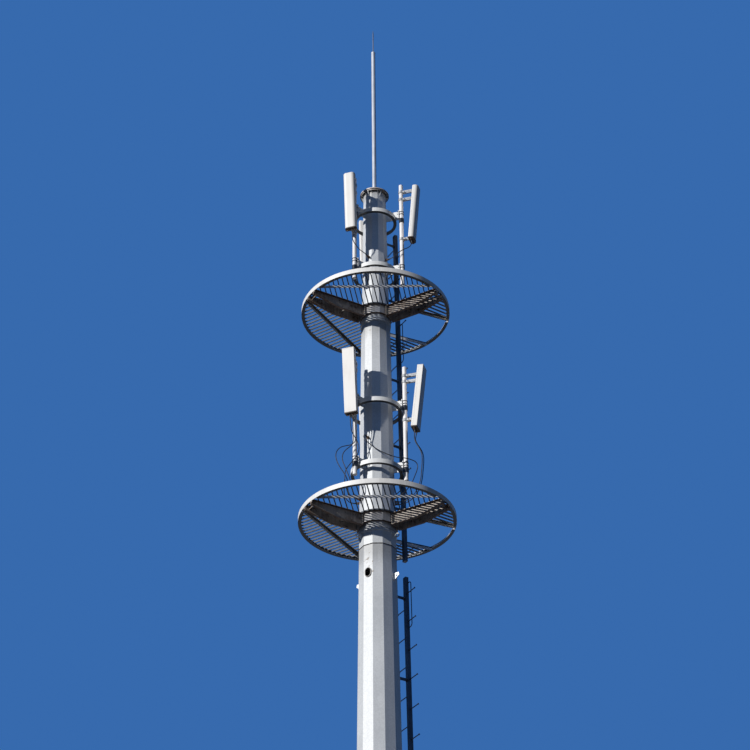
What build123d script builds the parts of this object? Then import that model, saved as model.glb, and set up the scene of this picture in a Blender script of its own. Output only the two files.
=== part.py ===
from build123d import *
from math import atan, cos, degrees, pi, radians, sin, tan
import os

# Monopole cell tower: a flanged twelve-sided steel pole that carries two round
# work platforms, two tiers of panel antennas on hoops, a peg ladder and a
# lightning rod. Millimetres, +Z up. The origin is the centre of the underside of
# the base flange. Angles are counter-clockwise from +X, seen from above, and
# a flat of the pole faces every multiple of 30 degrees.

# ---- pole ----
SIDES = 12
BASE_APOTHEM = 590.0          # centre to flat, at the ground
SHAFT_TAPER = 0.01166         # loss of that per unit of height, up to the top joint
TOP_APOTHEM = 285.0           # of the slimmer top section, at its foot
TOP_TAPER = 0.0139
POLE_WALL = 8.0
LOW_JOINT_Z = 10000.0
MID_JOINT_Z = 20210.0
HIGH_JOINT_Z = 25220.0
POLE_TOP_Z = 28690.0

# ---- flanges ----
JOINT_PLATE = 50.0            # thickness of each plate of a joint
JOINT_REACH = 20.0            # plate beyond the flat of the pole
JOINT_LAND = 28.0             # plate inside the flat of the pole
BASE_PLATE = 45.0
BASE_RADIUS = 790.0
ANCHOR_COUNT = 24
ANCHOR_CIRCLE = 1420.0        # diameter
ANCHOR_HOLE_RADIUS = 20.0
BASE_GUSSET_HEIGHT = 260.0
BASE_GUSSET_REACH = 165.0
BASE_GUSSET_TOE = 40.0        # height of a gusset's outer edge
BASE_GUSSET_SHOULDER = 30.0   # width of its top
GUSSET_PLATE = 16.0
TOP_FLANGE_RADIUS = 295.0
TOP_FLANGE_PLATE = 25.0
CAP_RADIUS = 315.0
CAP_PLATE = 25.0
TOP_GUSSET_COUNT = 6
TOP_GUSSET_HEIGHT = 110.0
TOP_GUSSET_REACH = 48.0
TOP_GUSSET_TOE = 18.0
TOP_GUSSET_SHOULDER = 12.0

# ---- lightning rod ----
SOCKET_RADIUS = 58.0
SOCKET_HEIGHT = 90.0
SOCKET_PLATE_RADIUS = 130.0
SOCKET_PLATE = 20.0
ROD_RADIUS = 46.0
ROD_LENGTH = 4180.0
TIP_RADIUS = 11.0
TIP_LENGTH = 700.0
TIP_POINT = 90.0
TIP_END_RADIUS = 1.5

# ---- cable ports and lugs on the pole ----
PORT_ANGLE = -120.0
PORT_HEIGHTS = (1200.0, 19250.0)
PORT_WIDTH = 110.0
PORT_HEIGHT = 170.0
PORT_RIM = 14.0
PORT_RIM_DEPTH = 18.0
LUG_ANGLES = (-33.0, 147.0)
LUG_Z = 19200.0
LUG_REACH = 125.0
LUG_HEIGHT = 170.0
LUG_PLATE = 14.0
LUG_NOSE = 12.0
LUG_NOSE_RISE = 30.0
LUG_HOLE_OUT = 75.0
LUG_HOLE_RISE = 25.0
LUG_HOLE_RADIUS = 16.0
EYE_Z = 20110.0
EYE_REACH = 88.0
EYE_RADIUS = 44.0
EYE_HOLE_RADIUS = 22.0

# ---- platforms ----
PLATFORM_HEIGHTS = {"lower": 20540.0, "upper": 25540.0}   # tops of the arms
ARM_ANGLES = (-30.0, 90.0, 210.0)
RING_RADIUS = 1550.0
RING_PLATE = 8.0
RING_ABOVE = 52.0
RING_BELOW = 48.0
HUB_REACH = 50.0              # outer face of the hub band beyond the flat of the pole
HUB_BAND = 10.0
HUB_HEIGHT = 190.0
HUB_TOP_REACH = 85.0
HUB_TOP_PLATE = 20.0
HUB_BOTTOM_PLATE = 12.0
ARM_WEB_SPACING = 200.0       # between the inner faces of the two webs
ARM_PLATE = 8.0
ARM_FLANGE = 55.0
ARM_DEPTH_HUB = 255.0
ARM_DEPTH_KNEE = 250.0
ARM_DEPTH_END = 110.0
ARM_KNEE_RADIUS = 950.0
ARM_END_PLATE = 12.0
ARM_TIES = ((760.0, 190.0), (1455.0, 96.0))               # radius, depth
CHORD_INSET = 545.0           # ring to the chord angles under the gratings
ANGLE_LEG = 60.0
ANGLE_PLATE = 6.0
HATCH_ANGLE = 25.0
HATCH_LEFT = 530.0            # distances of the two hatch angles from the pole's axis
HATCH_RIGHT = -455.0
GRATING_DEPTH = 30.0
GRATING_BAR = 18.0
GRATING_PITCH = 100.0
GRATING_FRAME = 16.0
GRATING_GAP = 5.0
GRATING_TWIST = {"front": -8.0, "right": 4.0, "left": -4.0}

# ---- antenna tiers ----
TIERS = {
    "lower": {"hoops": (21620.0, 23080.0), "hoop_radius": 515.0, "pipe_foot": 21360.0,
              "strap_drop": 25.0, "panel_edges": (8.0, 8.0, 0.0),
              "panel_height": 1460.0, "panel_tilt": 6.5,
              "panel_middles": {"right": 23250.0, "back": 23300.0, "left": 23380.0},
              "brackets": (587.0, 444.0, -483.0)},          # heights from the panel's middle
    "upper": {"hoops": (26530.0, 27975.0), "hoop_radius": 465.0, "pipe_foot": 26170.0,
              "strap_drop": 95.0, "panel_edges": (24.0, 70.0, 12.0),  # back, front and top
              "panel_height": 1420.0, "panel_tilt": 5.0,
              "panel_middles": {"right": 28015.0, "back": 28015.0, "left": 28015.0},
              "brackets": (650.0, 445.0, -640.0)},
}
MAST_ANGLES = {"right": -16.0, "back": 104.0, "left": 224.0}
PANEL_ANGLES = {"right": -17.0, "back": 104.0, "left": 252.0}
HOOP_PLATE = 8.0
HOOP_HEIGHT = 95.0
BRACKET_PLATE = 12.0
BRACKET_BELOW = 40.0
BRACKET_ABOVE = 180.0
SADDLE_PLATE = 12.0
SADDLE_WIDTH = 120.0
MAST_CIRCLE = 600.0           # radius on which the pipes stand
PIPE_RADIUS = 44.5
PIPE_LENGTH = 2700.0
PIPE_DOME = 12.0
STRAP_PLATE = 11.0
STRAP_HEIGHT = 110.0
PANEL_WIDTH = 252.0
PANEL_DEPTH = 128.0
PANEL_OFFSET = 293.0          # axis of the pipe to the middle of the panel
COLLAR_PLATE = 12.0
COLLAR_HEIGHT = 60.0
LINK_SPACING = 56.0
LINK_PLATE = 8.0
LINK_HEIGHT = 46.0
CLAMP_BLOCK = 40.0            # between the links, behind the collar
CLAMP_BLOCK_OUT = 16.0        # collar to its middle
CONNECTOR_RADIUS = 15.0
CONNECTOR_LENGTH = 38.0
CONNECTOR_SPOTS = (-80.0, -28.0, 28.0, 80.0)

# ---- jumper cables ----
CABLE_DIAMETER = 18.0
CABLE_EXIT = 110.0            # straight run out of a connector or into a gland
SHORT_EXIT = 50.0
ARC_SHARE = 0.45              # of the shorter run, taken by the arc between two runs
GLAND_RADIUS = 19.0
GLAND_LENGTH = 70.0
GLAND_SEAT_RADIUS = 31.0
GLAND_SEAT = 14.0
GLANDS = {                    # bearing of the flat, height, offset along the flat
    "lower_right_1": (0.0, 20950.0, 45.0),
    "lower_right_2": (0.0, 20950.0, -45.0),
    "lower_left_1": (210.0, 20950.0, -45.0),
    "lower_left_2": (210.0, 20950.0, 45.0),
    "lower_left_3": (180.0, 20950.0, 0.0),
    "lower_front": (-30.0, 20950.0, 0.0),
    "lower_front_start": (240.0, 22290.0, 0.0),
    "upper_left": (240.0, 26860.0, 0.0),
    "upper_right": (-30.0, 26850.0, 0.0),
}
CABLES = {                    # tier and side of the panel, connector, and the points that hang free
    "lower_right_1": ("lower", "right", 3, [
        (768, -196, 22310), (800, -240, 22170), (868, -258, 22050), (918, -262, 21920), (930, -266, 21780),
        (919, -270, 21640), (906, -274, 21500), (893, -270, 21366), (865, -262, 21230), (815, -215, 21095),
        (705, -110, 20985)]),
    "lower_right_2": ("lower", "right", 1, [
        (750, -256, 22310), (773, -274, 22180), (838, -292, 22055), (888, -296, 21925), (898, -300, 21790),
        (889, -304, 21645), (877, -306, 21505), (866, -300, 21370), (838, -292, 21235), (780, -245, 21100),
        (680, -150, 20995)]),
    "lower_left_1": ("lower", "left", 3, [
        (-420, -616, 22400), (-412, -594, 22290), (-404, -556, 22180), (-418, -510, 22085),
        (-480, -482, 22010), (-590, -474, 21996), (-705, -476, 21968), (-786, -480, 21880),
        (-812, -480, 21760), (-786, -476, 21632), (-725, -474, 21500), (-640, -470, 21362),
        (-576, -466, 21225), (-572, -430, 21090), (-563, -340, 20990)]),
    "lower_left_2": ("lower", "left", 2, [
        (-464, -602, 22405), (-462, -584, 22295), (-458, -562, 22185), (-458, -545, 22070),
        (-484, -536, 21968), (-570, -532, 21898), (-650, -532, 21815), (-682, -532, 21705),
        (-668, -532, 21595), (-625, -532, 21480), (-580, -534, 21350), (-530, -524, 21215),
        (-506, -470, 21095), (-480, -388, 20995)]),
    "lower_left_3": ("lower", "left", 1, [
        (-512, -580, 22405), (-496, -548, 22295), (-446, -516, 22195), (-385, -494, 22085),
        (-350, -492, 21970), (-350, -496, 21860), (-388, -500, 21758), (-452, -503, 21658),
        (-522, -503, 21556), (-590, -502, 21460), (-626, -504, 21350), (-625, -506, 21230),
        (-640, -440, 21115), (-645, -320, 21030), (-620, -170, 20970)]),
    "upper_left": ("upper", "left", 2, [
        (-472, -572, 27060), (-408, -518, 26972), (-318, -438, 26896)]),
    "upper_right": ("upper", "right", 1, [
        (712, -262, 27085), (600, -266, 27036), (482, -260, 26945)]),
}
FRONT_CABLE = [
    (-247, -427, 22265), (-259, -450, 22221), (-241, -461, 22166), (-188, -456, 22094), (-108, -436, 22026),
    (-18, -412, 21964), (80, -396, 21904), (196, -374, 21856), (318, -346, 21818), (440, -300, 21812),
    (560, -256, 21832), (672, -226, 21815), (770, -206, 21778), (812, -196, 21690), (788, -190, 21570),
    (742, -186, 21450), (700, -196, 21325), (640, -228, 21200), (572, -284, 21070)]

# ---- ladder ----
LADDER_ANGLE = 30.0
LADDER_RUNS = ((2600.0, 10800.0), (11150.0, 19460.0), (19810.0, 27800.0))
LADDER_STANDOFF = 222.0       # flat of the pole to the spine
SPINE_WIDTH = 90.0
SPINE_DEPTH = 70.0
PEG_PITCH = 300.0
PEG_FIRST = 150.0             # foot of a section to its lowest peg
PEG_MARGIN = 100.0            # least length of spine left above the highest
PEG_REACH = 270.0
PEG_RADIUS = 10.0
PEG_STOP = 16.0               # radius of the disc at a peg's end
PEG_STOP_PLATE = 6.0
SIDE_BAR_RADIUS = 9.0
SIDE_BAR_GAP = 2.0            # between the side bar and the pegs that it passes
SIDE_BAR_OFFSET = 150.0
SIDE_BAR_HEIGHT = 950.0
SIDE_BAR_BEND = 60.0
SIDE_BAR_TOPS = (19330.0, 25400.0)
STAY_WIDTH = 60.0
STAY_PLATE = 10.0
STAY_FOOT = 30.0              # thickness of its foot, before it is cut to the pole
STAY_FOOT_HEIGHT = 96.0
STAY_SINK = 20.0              # run inside the pole's flat, cut away again
STAY_HEIGHTS = (3400.0, 5300.0, 7200.0, 9100.0, 11600.0, 13500.0, 15400.0, 17300.0, 19000.0,
                20950.0, 22400.0, 24000.0, 26000.0, 27500.0)

SEAT = 0.3                    # clearance where a piece is cut round another
FAR = 4000.0                  # larger than any platform


def pole_apothem(z):
    """Distance from the pole's axis to its flats at height z."""
    if z < HIGH_JOINT_Z:
        return BASE_APOTHEM - SHAFT_TAPER * z
    return TOP_APOTHEM - TOP_TAPER * (z - HIGH_JOINT_Z)


def flat_slope(z):
    """Lean of the pole's flats at height z, in degrees."""
    return degrees(atan(SHAFT_TAPER if z < HIGH_JOINT_Z else TOP_TAPER))


def twelve_sided(apothem):
    """Regular outline with a flat on +X."""
    corner = apothem / cos(pi / SIDES)
    angles = [2 * pi * (i + 0.5) / SIDES for i in range(SIDES)]
    return make_face(Polyline([(corner * cos(a), corner * sin(a)) for a in angles], close=True))


def tapered_prism(low, high, z_low, z_high):
    """Twelve-sided prism with one apothem at its foot and another at its top."""
    foot = Pos(0, 0, z_low) * twelve_sided(low)
    return extrude(foot, amount=z_high - z_low, taper=degrees(atan((low - high) / (z_high - z_low))))


def pole_body(z_low, z_high, growth=0.0):
    """Solid of the pole's outer shape, or larger or smaller by growth."""
    low = pole_apothem(z_low) + growth
    slope = SHAFT_TAPER if z_low < HIGH_JOINT_Z else TOP_TAPER
    return tapered_prism(low, low - slope * (z_high - z_low), z_low, z_high)


def at_bearing(angle, radius=0.0, z=0.0):
    """Place a piece that was made on +X at a bearing round the pole."""
    return Rot(0, 0, angle) * Pos(radius, 0, z)


def disc(radius, z_low, z_high, hole=0.0):
    """Round plate, with a round hole if one is given."""
    plate = Pos(0, 0, (z_low + z_high) / 2) * Cylinder(radius, z_high - z_low)
    if hole:
        plate -= Pos(0, 0, (z_low + z_high) / 2) * Cylinder(hole, 2 * (z_high - z_low))
    return plate


def upright_plate(outline, thickness):
    """Plate in the XZ plane, centred on it, from an outline of (x, z) points."""
    face = make_face(Polyline(outline, close=True))
    return extrude(Plane.XZ * face, amount=thickness / 2, both=True)


def save(node, pieces):
    """Write one node: a single piece, or like pieces that don't touch."""
    solids = [s for piece in pieces for s in piece.solids()]
    shape = solids[0] if len(solids) == 1 else Compound(children=solids)
    shape.label = node
    export_step(shape, f"parts/{node}.step")


# ---- the pole and its joints ----
def pole_section(z_low, z_high, port_z=None):
    """One tapered tube, butted on the plates above and below it."""
    tube = pole_body(z_low, z_high)
    inner_low = pole_apothem(z_low) - POLE_WALL
    inner_high = inner_low - (SHAFT_TAPER if z_low < HIGH_JOINT_Z else TOP_TAPER) * (z_high - z_low)
    tube -= tapered_prism(inner_low, inner_high, z_low, z_high)
    if port_z:
        tube -= port_plane(port_z) * extrude(port_outline(0), amount=2 * POLE_WALL, both=True)
    return tube


def port_plane(z):
    """Frame on the flat that holds the cable ports: its Z points out of the pole."""
    return at_bearing(PORT_ANGLE, pole_apothem(z), z) * Rot(0, 90 - flat_slope(z), 0)


def port_outline(growth):
    return SlotOverall(PORT_HEIGHT + 2 * growth, PORT_WIDTH + 2 * growth)


def joint_plates(z):
    """The two mating plates of a joint, nearly flush with the pole."""
    radius = pole_apothem(z - JOINT_PLATE) + JOINT_REACH
    hole = min(pole_apothem(z - JOINT_PLATE), pole_apothem(z + JOINT_PLATE)) - JOINT_LAND
    return disc(radius, z - JOINT_PLATE, z, hole), disc(radius, z, z + JOINT_PLATE, hole)


def base_flange():
    plate = disc(BASE_RADIUS, 0, BASE_PLATE)
    hole = Cylinder(ANCHOR_HOLE_RADIUS, 4 * BASE_PLATE)
    return plate - PolarLocations(ANCHOR_CIRCLE / 2, ANCHOR_COUNT, start_angle=180 / ANCHOR_COUNT) * hole


def base_gussets():
    """Gussets on every flat, between the anchor holes."""
    foot = pole_apothem(BASE_PLATE)
    top = pole_apothem(BASE_PLATE + BASE_GUSSET_HEIGHT)
    outline = [(foot + SEAT, BASE_PLATE), (foot + BASE_GUSSET_REACH, BASE_PLATE),
               (foot + BASE_GUSSET_REACH, BASE_PLATE + BASE_GUSSET_TOE),
               (top + BASE_GUSSET_SHOULDER, BASE_PLATE + BASE_GUSSET_HEIGHT),
               (top + SEAT, BASE_PLATE + BASE_GUSSET_HEIGHT)]
    gusset = upright_plate(outline, GUSSET_PLATE)
    return [Rot(0, 0, 360 * i / SIDES) * gusset for i in range(SIDES)]


def top_gussets():
    """Small gussets under the top flange."""
    top = POLE_TOP_Z - TOP_FLANGE_PLATE
    low = top - TOP_GUSSET_HEIGHT
    outline = [(pole_apothem(low) + SEAT, low), (pole_apothem(low) + TOP_GUSSET_SHOULDER, low),
               (pole_apothem(top) + TOP_GUSSET_REACH, top - TOP_GUSSET_TOE),
               (pole_apothem(top) + TOP_GUSSET_REACH, top), (pole_apothem(top) + SEAT, top)]
    gusset = upright_plate(outline, LUG_PLATE)
    return [Rot(0, 0, 360 * i / TOP_GUSSET_COUNT) * gusset for i in range(TOP_GUSSET_COUNT)]


def lifting_lugs():
    """Two lug plates below the lower platform, and three eyes under its arms."""
    face = pole_apothem(LUG_Z + LUG_HEIGHT / 2) - LUG_PLATE
    outline = [(face, LUG_Z - LUG_HEIGHT / 2), (face, LUG_Z + LUG_HEIGHT / 2),
               (face + LUG_REACH, LUG_Z + LUG_HEIGHT / 2),
               (face + LUG_REACH + LUG_NOSE, LUG_Z + LUG_NOSE_RISE)]
    plate = upright_plate(outline, LUG_PLATE)
    hole = Rot(90, 0, 0) * Cylinder(LUG_HOLE_RADIUS, LUG_REACH)
    plate -= Pos(face + LUG_HOLE_OUT, 0, LUG_Z + LUG_HOLE_RISE) * hole
    eye_face = pole_apothem(EYE_Z + EYE_RADIUS) - LUG_PLATE
    eye_x = pole_apothem(EYE_Z) + EYE_REACH
    eye = upright_plate([(eye_face, EYE_Z - EYE_RADIUS), (eye_x, EYE_Z - EYE_RADIUS),
                         (eye_x, EYE_Z + EYE_RADIUS), (eye_face, EYE_Z + EYE_RADIUS)], LUG_PLATE)
    eye += Pos(eye_x, 0, EYE_Z) * Rot(90, 0, 0) * Cylinder(EYE_RADIUS, LUG_PLATE)
    eye -= Pos(eye_x, 0, EYE_Z) * Rot(90, 0, 0) * Cylinder(EYE_HOLE_RADIUS, LUG_REACH)
    pole = pole_body(LUG_Z - 300, EYE_Z + 300, SEAT)
    lugs = [Rot(0, 0, a) * plate - pole for a in LUG_ANGLES]
    return lugs + [Rot(0, 0, a) * eye - pole for a in ARM_ANGLES]


# ---- platforms ----
def hub(z):
    """Collar of a platform: a twelve-sided band between a top and a bottom plate."""
    flat = pole_apothem(z - HUB_HEIGHT) + SEAT
    band = pole_apothem(z) + HUB_REACH
    shape = Pos(0, 0, z - HUB_HEIGHT) * extrude(twelve_sided(band), amount=HUB_HEIGHT)
    hollow = Pos(0, 0, z - HUB_HEIGHT + HUB_BOTTOM_PLATE) * twelve_sided(band - HUB_BAND)
    shape -= extrude(hollow, amount=HUB_HEIGHT - HUB_BOTTOM_PLATE)
    shape += disc(pole_apothem(z) + HUB_TOP_REACH, z, z + HUB_TOP_PLATE)
    return shape - Pos(0, 0, z - HUB_HEIGHT) * extrude(twelve_sided(flat), amount=2 * HUB_HEIGHT)


def arm(z):
    """Two haunched channels, back to back, with end and tie plates, along +X."""
    start = pole_apothem(z) + HUB_REACH
    end = RING_RADIUS
    lower_edge = [(start, -ARM_DEPTH_HUB), (ARM_KNEE_RADIUS, -ARM_DEPTH_KNEE), (end, -ARM_DEPTH_END)]
    raised = [(x, depth + ARM_PLATE) for x, depth in lower_edge]
    web = upright_plate([(start, 0)] + lower_edge + [(end, 0)], ARM_PLATE)
    bottom = upright_plate(lower_edge + raised[::-1], ARM_FLANGE)
    top = upright_plate([(start, 0), (start, -ARM_PLATE), (end, -ARM_PLATE), (end, 0)], ARM_FLANGE)
    web_y = (ARM_WEB_SPACING + ARM_PLATE) / 2
    flange_y = (ARM_WEB_SPACING + ARM_FLANGE) / 2
    channel = Pos(0, web_y, 0) * web + Pos(0, flange_y, 0) * (bottom + top)
    shape = channel + mirror(channel, about=Plane.XZ)
    width = ARM_WEB_SPACING + 2 * ARM_FLANGE
    shape += Pos(start + ARM_END_PLATE / 2, 0, -ARM_DEPTH_HUB / 2) * Box(ARM_END_PLATE, width, ARM_DEPTH_HUB)
    for radius, depth in ARM_TIES:
        shape += Pos(radius, 0, -depth / 2) * Box(ARM_PLATE, ARM_WEB_SPACING, depth)
    return Pos(0, 0, z) * (shape & Cylinder(RING_RADIUS - RING_PLATE - SEAT, 3 * ARM_DEPTH_HUB))


def arm_strip(angle, half_width):
    """Tall box over an arm, used to stop other pieces at the arm's side."""
    return Rot(0, 0, angle) * Pos(FAR / 2, 0, 0) * Box(FAR, 2 * half_width, FAR)


def ahead(shape, bearing):
    """The largest of a shape's solids that lie towards a bearing."""
    way = Vector(cos(radians(bearing)), sin(radians(bearing)), 0)
    return max((s for s in shape.solids() if s.center().dot(way) > 0), key=lambda s: s.volume)


def angle_bar(offset, side):
    """Steel angle along +Y at x = offset: its upright leg there, its flat leg towards side."""
    upright = Pos(offset + side * ANGLE_PLATE / 2, 0, -ANGLE_LEG / 2) * Box(ANGLE_PLATE, FAR, ANGLE_LEG)
    flat = Pos(offset + side * ANGLE_LEG / 2, 0, -ANGLE_PLATE / 2) * Box(ANGLE_LEG, FAR, ANGLE_PLATE)
    return upright + flat


def deck_angles(z):
    """Chord angles under the front and left gratings, and the two beside the hatch."""
    inside = Cylinder(RING_RADIUS - RING_PLATE - SEAT, FAR)
    arm_half = ARM_WEB_SPACING / 2 + ARM_FLANGE + SEAT
    chord = RING_RADIUS - CHORD_INSET
    beside = HATCH_ANGLE + 90
    places = [(-90, -90, chord, -1), (150, 150, chord, -1),
              (HATCH_ANGLE, beside, HATCH_RIGHT, -1), (HATCH_ANGLE, beside, HATCH_LEFT, 1)]
    bars = []
    for bearing, facing, distance, side in places:
        bar = Rot(0, 0, facing) * angle_bar(distance, side) & inside
        for a in ARM_ANGLES:
            bar -= arm_strip(a, arm_half)
        bars.append(ahead(bar, bearing))
    return [Pos(0, 0, z) * bar for bar in bars]


def sector_outline(z, middle):
    """Plan of the deck between two arms, round a middle bearing."""
    rim = Circle(RING_RADIUS - RING_PLATE - GRATING_GAP)
    rim -= Circle(pole_apothem(z) + HUB_TOP_REACH + GRATING_GAP)
    half = Pos(0, FAR / 2 + GRATING_GAP) * Rectangle(2 * FAR, FAR)
    left = Rot(0, 0, middle - 60) * half
    right = Rot(0, 0, middle + 60) * Pos(0, -FAR - 2 * GRATING_GAP) * half
    return rim & left & right


def grating_panel(outline, bearing):
    """Frame round the outline, filled with parallel bars along a bearing."""
    inner = offset(outline, -GRATING_FRAME, kind=Kind.INTERSECTION)
    count = int(RING_RADIUS / GRATING_PITCH) + 1
    bars = [Rot(0, 0, bearing) * Pos(0, i * GRATING_PITCH) * Rectangle(2 * FAR, GRATING_BAR)
            for i in range(-count, count + 1)]
    panel = outline - inner
    filled = Sketch() + [bar & outline for bar in bars]
    return extrude(panel + filled, amount=GRATING_DEPTH)


def gratings(z):
    """Deck panels on the front, left and right of the pole, the last open for the ladder."""
    panels = [grating_panel(sector_outline(z, -90), -90 + GRATING_TWIST["front"]),
              grating_panel(sector_outline(z, 150), 150 + GRATING_TWIST["left"])]
    right = sector_outline(z, 30)
    for edge, side in ((HATCH_RIGHT, -1), (HATCH_LEFT, 1)):
        keep = Pos(0, edge + side * (FAR / 2 + ANGLE_PLATE)) * Rectangle(2 * FAR, FAR)
        part = max((right & Rot(0, 0, HATCH_ANGLE) * keep).faces(), key=lambda f: f.area)
        panels.append(grating_panel(Sketch() + part, 30 + GRATING_TWIST["right"]))
    return [Pos(0, 0, z) * panel for panel in panels]


# ---- antenna tiers ----
def hoop(z, radius):
    """Flat hoop with three upright bracket plates and their pipe saddles."""
    shape = Pos(0, 0, z) * (Cylinder(radius + HOOP_PLATE, HOOP_HEIGHT) - Cylinder(radius, 2 * HOOP_HEIGHT))
    saddle_x = MAST_CIRCLE - PIPE_RADIUS - SEAT - SADDLE_PLATE
    height = BRACKET_BELOW + BRACKET_ABOVE
    middle = z + (BRACKET_ABOVE - BRACKET_BELOW) / 2
    start = pole_apothem(z) - 2 * SADDLE_PLATE
    plate = Pos((start + saddle_x) / 2, 0, middle) * Box(saddle_x - start, BRACKET_PLATE, height)
    plate += Pos(saddle_x + SADDLE_PLATE / 2, 0, middle) * Box(SADDLE_PLATE, SADDLE_WIDTH, height)
    for a in MAST_ANGLES.values():
        shape += Rot(0, 0, a) * plate
    return shape - pole_body(z - 2 * height, z + 2 * height, SEAT)


def mast_pipe(foot):
    pipe = Pos(0, 0, foot + PIPE_LENGTH / 2) * Cylinder(PIPE_RADIUS, PIPE_LENGTH)
    return fillet(pipe.edges().sort_by(Axis.Z)[-1], PIPE_DOME)


def strap(z):
    """U strap that holds a pipe to its saddle, on +X of the pipe's own axis."""
    outer = PIPE_RADIUS + SEAT + STRAP_PLATE
    reach = PIPE_RADIUS + SEAT
    outline = Circle(outer) + Pos(-reach / 2, 0) * Rectangle(reach, 2 * outer)
    outline -= Circle(reach)
    outline -= Pos(-outer, 0) * Rectangle(2 * (outer - reach), 2 * FAR)
    outline -= Pos(-outer / 2, 0) * Rectangle(outer, PIPE_RADIUS)
    return Pos(0, 0, z - STRAP_HEIGHT / 2) * extrude(outline, amount=STRAP_HEIGHT)


def panel_place(side, tier):
    """Frame at a panel's middle: X faces out and the panel leans that way."""
    foot = at_bearing(MAST_ANGLES[side], MAST_CIRCLE, tier["panel_middles"][side])
    turn = PANEL_ANGLES[side] - MAST_ANGLES[side]
    return foot * Rot(0, 0, turn) * Pos(PANEL_OFFSET, 0, 0) * Rot(0, tier["panel_tilt"], 0)


def panel(side, tier):
    """Radome with its own radii on the back, front and top edges."""
    back, front, top = tier["panel_edges"]
    body = Box(PANEL_DEPTH, PANEL_WIDTH, tier["panel_height"])
    body = fillet(body.edges().filter_by(Axis.Z).sort_by(Axis.X)[:2], back)
    body = fillet(body.faces().sort_by(Axis.X)[-1].edges().filter_by(Axis.Z), front)
    if top:
        body = fillet(body.faces().sort_by(Axis.Z)[-1].edges(), top)
    return panel_place(side, tier) * body


def panel_brackets(side, tier):
    """Collars on the pipe and their links to the back of a panel."""
    outer = PIPE_RADIUS + SEAT + COLLAR_PLATE
    turn = PANEL_ANGLES[side] - MAST_ANGLES[side]
    place = at_bearing(MAST_ANGLES[side], MAST_CIRCLE, tier["panel_middles"][side]) * Rot(0, 0, turn)
    envelope = panel_place(side, tier) * Box(PANEL_DEPTH + 2 * SEAT, PANEL_WIDTH, tier["panel_height"])
    brackets = []
    for rise in tier["brackets"]:
        shape = Cylinder(outer, COLLAR_HEIGHT)
        for side_y in (-1, 1):
            y = side_y * (LINK_SPACING + LINK_PLATE) / 2
            shape += Pos(PANEL_OFFSET / 2, y, 0) * Box(PANEL_OFFSET, LINK_PLATE, LINK_HEIGHT)
        shape += Pos(outer + CLAMP_BLOCK_OUT, 0, 0) * Box(CLAMP_BLOCK, LINK_SPACING, LINK_HEIGHT)
        shape -= Cylinder(PIPE_RADIUS + SEAT, 2 * COLLAR_HEIGHT)
        brackets.append((place * Pos(0, 0, rise) * shape) - envelope)
    return brackets


def connectors(side, tier):
    """Cable connectors in a row under a panel."""
    plug = Cylinder(CONNECTOR_RADIUS, CONNECTOR_LENGTH)
    drop = -(tier["panel_height"] + CONNECTOR_LENGTH) / 2
    return [panel_place(side, tier) * Pos(0, y, drop) * plug for y in CONNECTOR_SPOTS]


# ---- jumper cables ----
def gland_face(key, reach):
    """Point on a gland's axis at a distance from the flat of the pole."""
    angle, z, along = GLANDS[key]
    return at_bearing(angle, pole_apothem(z) + reach, z) * Pos(0, along, 0)


def gland(key):
    """Cable gland that enters a flat of the pole."""
    body = Rot(0, 90, 0) * Cylinder(GLAND_RADIUS, 2 * GLAND_LENGTH)
    body += Rot(0, 90, 0) * Cylinder(GLAND_SEAT_RADIUS, 2 * GLAND_SEAT)
    z = GLANDS[key][1]
    return gland_face(key, 0) * body - pole_body(z - 200, z + 200, SEAT)


def cable(name, points):
    """Limp tube through points: straight runs joined by the largest arcs that they leave room for."""
    points = [Vector(p) for p in points]
    runs = [b - a for a, b in zip(points, points[1:])]
    turns = [a.get_angle(b) for a, b in zip(runs, runs[1:])]
    shorter = [min(a.length, b.length) for a, b in zip(runs, runs[1:])]
    radii = [ARC_SHARE * run / tan(radians(turn / 2)) for run, turn in zip(shorter, turns)]
    path = FilletPolyline(*points, radius=radii)
    tube = sweep(Plane(origin=path @ 0, z_dir=path % 0) * Circle(CABLE_DIAMETER / 2), path=path)
    expected = pi * CABLE_DIAMETER ** 2 / 4 * path.length
    print(f"{name}: radii {min(radii):.0f} to {max(radii):.0f}, turns to {max(turns):.0f} degrees, runs "
          f"{min(r.length for r in runs):.0f} to {max(r.length for r in runs):.0f}, volume ratio "
          f"{tube.volume / expected:.4f}")
    return tube


def panel_cable(name):
    """Cable from a connector under a panel to its gland."""
    tier, side, spot, hanging = CABLES[name]
    place = panel_place(side, TIERS[tier])
    drop = -TIERS[tier]["panel_height"] / 2 - CONNECTOR_LENGTH
    start = [(place * Pos(0, CONNECTOR_SPOTS[spot], drop - fall)).position for fall in (0, CABLE_EXIT)]
    end = [gland_face(name, reach).position for reach in (GLAND_LENGTH + CABLE_EXIT, GLAND_LENGTH)]
    return cable(name, start + hanging + end)


def front_cable():
    """Cable that leaves the pole, crosses its front and the right pipe, and enters it again."""
    leaving = (GLAND_LENGTH, GLAND_LENGTH + SHORT_EXIT)
    entering = (GLAND_LENGTH + CABLE_EXIT, GLAND_LENGTH)
    start = [gland_face("lower_front_start", reach).position for reach in leaving]
    end = [gland_face("lower_front", reach).position for reach in entering]
    return cable("lower_front", start + FRONT_CABLE + end)


# ---- ladder ----
def ladder_place(z_low, z_high):
    """Frame at the foot of a ladder section: Z along the spine, X away from the pole."""
    low = pole_apothem(z_low)
    high = pole_apothem(z_high)
    lean = degrees(atan((low - high) / (z_high - z_low)))
    return at_bearing(LADDER_ANGLE, low + LADDER_STANDOFF, z_low) * Rot(0, -lean, 0)


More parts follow.
